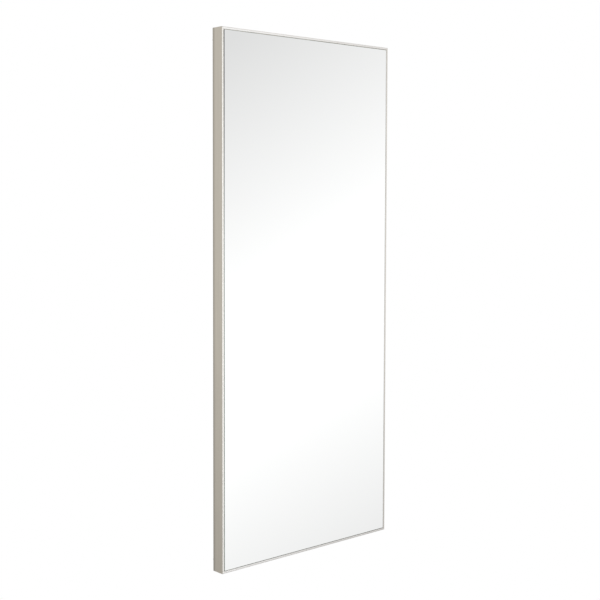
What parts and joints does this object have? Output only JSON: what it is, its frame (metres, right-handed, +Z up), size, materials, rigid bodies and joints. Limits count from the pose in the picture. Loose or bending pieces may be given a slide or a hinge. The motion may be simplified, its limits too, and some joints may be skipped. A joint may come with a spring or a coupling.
{
  "type": "wall mirror",
  "caption": "Tall rectangular wall mirror in a deep, slim satin-nickel metal frame with a hairline gap round the pane, hung by D-rings on its back.",
  "frame": {"origin": "centre of the wall plane, which the rear faces of the four rubber bumpers touch", "axes": "+X to the right along the face as seen from the room, +Y from the room into the wall, +Z up"},
  "size_m": [0.61, 0.0403, 1.397],
  "materials": {
    "frame_nickel": "satin warm nickel, brushed along each side",
    "mirror_pane": "silvered float glass with polished edges",
    "backing_film": "grey safety film",
    "foam_tape": "white foam",
    "fibreboard": "bare fibreboard",
    "pine": "planed softwood",
    "zinc_steel": "bright zinc plate",
    "nylon": "natural nylon",
    "bumper_rubber": "dark grey rubber"
  },
  "bodies": {
    "root": {"frame_left_upright": "frame_nickel", "frame_right_upright": "frame_nickel", "frame_top_rail": "frame_nickel", "frame_bottom_rail": "frame_nickel", "corner_key_bottom_left": "zinc_steel", "corner_key_bottom_right": "zinc_steel", "corner_key_top_left": "zinc_steel", "corner_key_top_right": "zinc_steel", "corner_plate_bottom_left": "zinc_steel", "corner_plate_bottom_right": "zinc_steel", "corner_plate_top_left": "zinc_steel", "corner_plate_top_right": "zinc_steel", "wall_bumper_bottom_left": "bumper_rubber", "wall_bumper_bottom_right": "bumper_rubber", "wall_bumper_top_left": "bumper_rubber", "wall_bumper_top_right": "bumper_rubber", "batten_left": "pine", "batten_right": "pine", "batten_bottom": "pine", "batten_top": "pine", "hanging_rail": "pine", "lower_crossbar": "pine", "hanger_strap_left": "zinc_steel", "hanger_strap_right": "zinc_steel", "mirror_glass": "mirror_pane", "safety_film": "backing_film", "bonding_strips": "foam_tape", "backing_board": "fibreboard", "gap_spacers": "nylon", "plate_screws": "zinc_steel", "shelf_screws": "zinc_steel", "hanger_screws": "zinc_steel"},
    "ring_left": {"d_ring_left": "zinc_steel"},
    "ring_right": {"d_ring_right": "zinc_steel"}
  },
  "joints": [
    {"name": "ring_left_swing", "type": "hinge", "parent": "root", "child": "ring_left", "pos_m": [-0.2032, -0.01247, 0.4475], "axis": [-1, 0, 0], "range_deg": [0, 178]},
    {"name": "ring_right_swing", "type": "hinge", "parent": "root", "child": "ring_right", "pos_m": [0.2032, -0.01247, 0.4475], "axis": [-1, 0, 0], "range_deg": [0, 178]}
  ]
}
